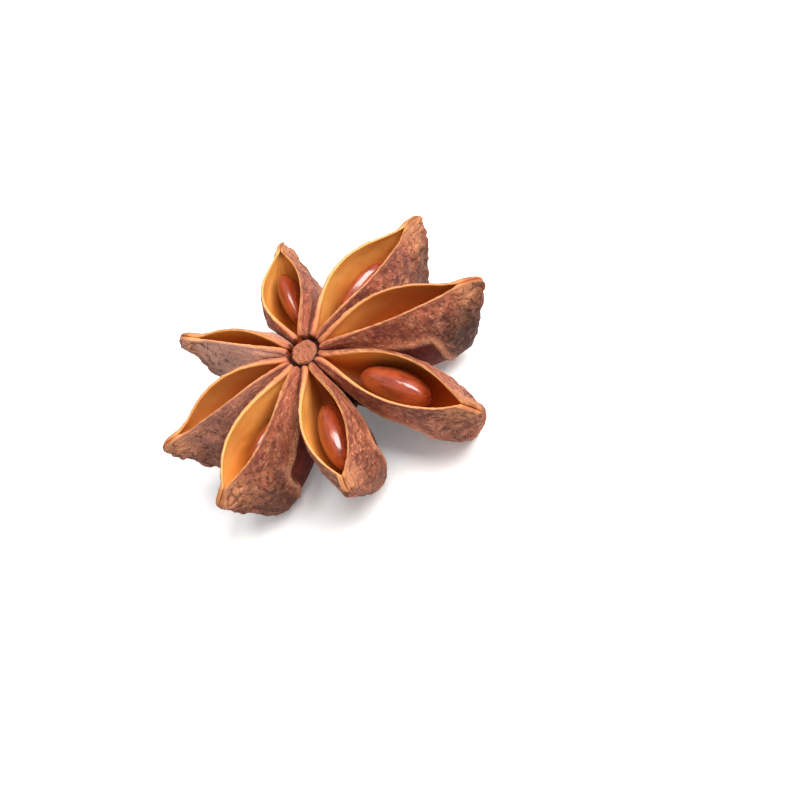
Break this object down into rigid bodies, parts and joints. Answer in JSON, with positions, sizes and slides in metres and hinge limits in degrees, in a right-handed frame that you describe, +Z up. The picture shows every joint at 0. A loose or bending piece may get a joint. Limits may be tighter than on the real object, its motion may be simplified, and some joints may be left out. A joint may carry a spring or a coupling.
{
  "type": "star anise pod",
  "caption": "Dried star anise pod: boat-shaped woody carpels round a short column, split open upwards, some holding a glossy seed.",
  "frame": {"origin": "middle of the stalk's scar, underneath, on the column's axis and on the surface the pod lies on", "axes": "+Z up out of the open side, along the column; +X and +Y across the star, with no carpel exactly on either"},
  "size_m": [0.0321, 0.0311, 0.0116],
  "materials": {
    "husk": "dry, rough and wrinkled outside, satin honey-orange inside",
    "seed": "smooth hard seed coat, glossy"
  },
  "bodies": {
    "root": {"husk": "husk", "seed_2": "seed", "seed_3": "seed", "seed_6": "seed", "seed_7": "seed", "seed_8": "seed"}
  },
  "joints": []
}
